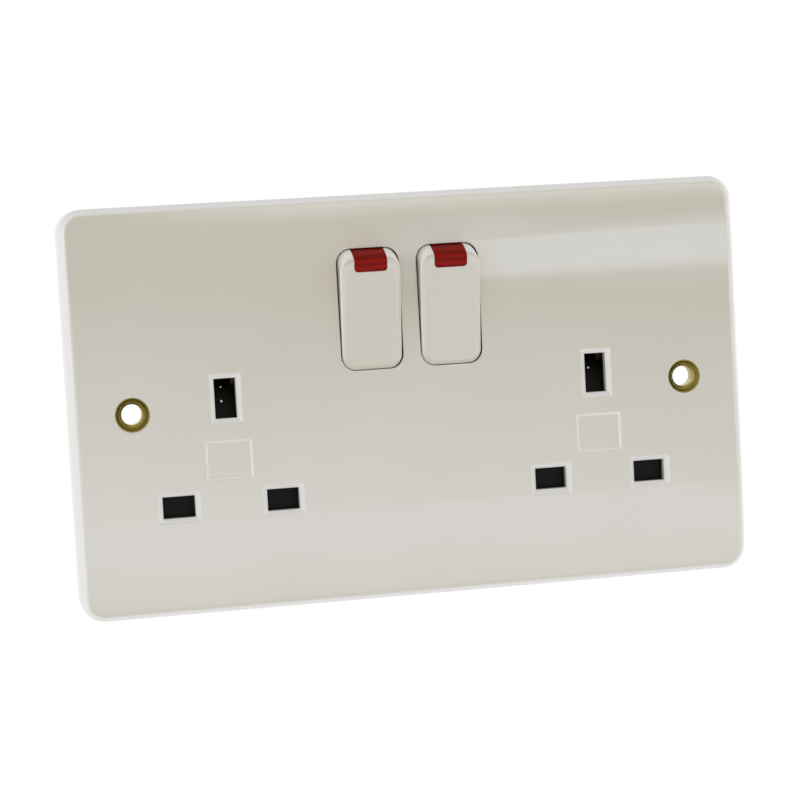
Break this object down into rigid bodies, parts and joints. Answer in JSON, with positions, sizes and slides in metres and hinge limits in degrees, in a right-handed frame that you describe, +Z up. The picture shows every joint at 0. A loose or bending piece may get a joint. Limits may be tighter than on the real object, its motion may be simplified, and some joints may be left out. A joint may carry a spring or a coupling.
{
  "type": "switched twin socket outlet",
  "caption": "White moulded twin wall outlet for flat-pin plugs, each outlet switched by a rocker with a red neon lens, with shuttered slots and brass-lined fixing holes.",
  "frame": {"origin": "middle of the faceplate on the wall plane, midway between the fixing screws", "axes": "+X to the right seen from the front, +Y into the wall, +Z up"},
  "size_m": [0.1466, 0.0298, 0.0864],
  "materials": {
    "white_plastic": "moulded satin gloss",
    "dark_plastic": "moulded matt",
    "black_plastic": "moulded satin",
    "red_lens": "clear tinted, ribbed inside",
    "brass": "pressed and turned",
    "plated_brass": "turned",
    "zinc_steel": "zinc plated",
    "spring_steel": "drawn wire",
    "silver_contact": "silver faced",
    "lamp_glass": "clear",
    "resistor_body": "dipped",
    "tinned_wire": "tinned"
  },
  "bodies": {
    "socket": {"earth_strap": "brass", "earth_terminal": "brass", "fixed_rivet_left": "silver_contact", "fixed_rivet_right": "silver_contact", "fixing_bush_left": "brass", "fixing_bush_right": "brass", "front_plate": "white_plastic", "housing_screws": "zinc_steel", "lamp_neutral_lead_left": "tinned_wire", "lamp_neutral_lead_right": "tinned_wire", "lamp_resistor_lead_left": "tinned_wire", "lamp_resistor_lead_right": "tinned_wire", "line_bar": "brass", "line_contact_left": "brass", "line_contact_right": "brass", "line_terminal": "brass", "neon_lamp_left": "lamp_glass", "neon_lamp_right": "lamp_glass", "neon_resistor_left": "resistor_body", "neon_resistor_right": "resistor_body", "neutral_bar": "brass", "neutral_terminal": "brass", "rear_housing": "dark_plastic", "resistor_line_lead_left": "tinned_wire", "resistor_line_lead_right": "tinned_wire", "shutter_spring_left": "spring_steel", "shutter_spring_right": "spring_steel", "terminal_screws": "plated_brass"},
    "rocker_left": {"rocker_left": "white_plastic", "neon_lens_left": "red_lens", "rocker_spring_left": "spring_steel", "rocker_plunger_left": "black_plastic"},
    "contact_left": {"switch_contact_left": "brass", "moving_rivet_left": "silver_contact"},
    "shutter_left": {"shutter_left": "black_plastic"},
    "rocker_right": {"rocker_right": "white_plastic", "neon_lens_right": "red_lens", "rocker_spring_right": "spring_steel", "rocker_plunger_right": "black_plastic"},
    "contact_right": {"switch_contact_right": "brass", "moving_rivet_right": "silver_contact"},
    "shutter_right": {"shutter_right": "black_plastic"}
  },
  "joints": [
    {"name": "rocker_left_switch", "type": "hinge", "parent": "socket", "child": "rocker_left", "pos_m": [-0.00865, -0.005, 0.019], "axis": [-1, 0, 0], "range_deg": [0, 18]},
    {"name": "contact_left_rock", "type": "hinge", "parent": "socket", "child": "contact_left", "pos_m": [-0.00865, 0.0078, 0.019], "axis": [1, 0, 0], "range_deg": [0, 12]},
    {"name": "shutter_left_slide", "type": "slide", "parent": "socket", "child": "shutter_left", "axis": [0, 0, -1], "range_m": [0, 0.0064], "stiffness_N_per_m": 60, "springref_m": -0.006, "deforming": ["shutter_spring_left"]},
    {"name": "rocker_right_switch", "type": "hinge", "parent": "socket", "child": "rocker_right", "pos_m": [0.00865, -0.005, 0.019], "axis": [-1, 0, 0], "range_deg": [0, 18]},
    {"name": "contact_right_rock", "type": "hinge", "parent": "socket", "child": "contact_right", "pos_m": [0.00865, 0.0078, 0.019], "axis": [1, 0, 0], "range_deg": [0, 12]},
    {"name": "shutter_right_slide", "type": "slide", "parent": "socket", "child": "shutter_right", "axis": [0, 0, -1], "range_m": [0, 0.0064], "stiffness_N_per_m": 60, "springref_m": -0.006, "deforming": ["shutter_spring_right"]}
  ],
  "couplings": [
    {"joint": "contact_left_rock", "follows": "rocker_left_switch", "ratio": 0.66666},
    {"joint": "contact_right_rock", "follows": "rocker_right_switch", "ratio": 0.66666}
  ]
}
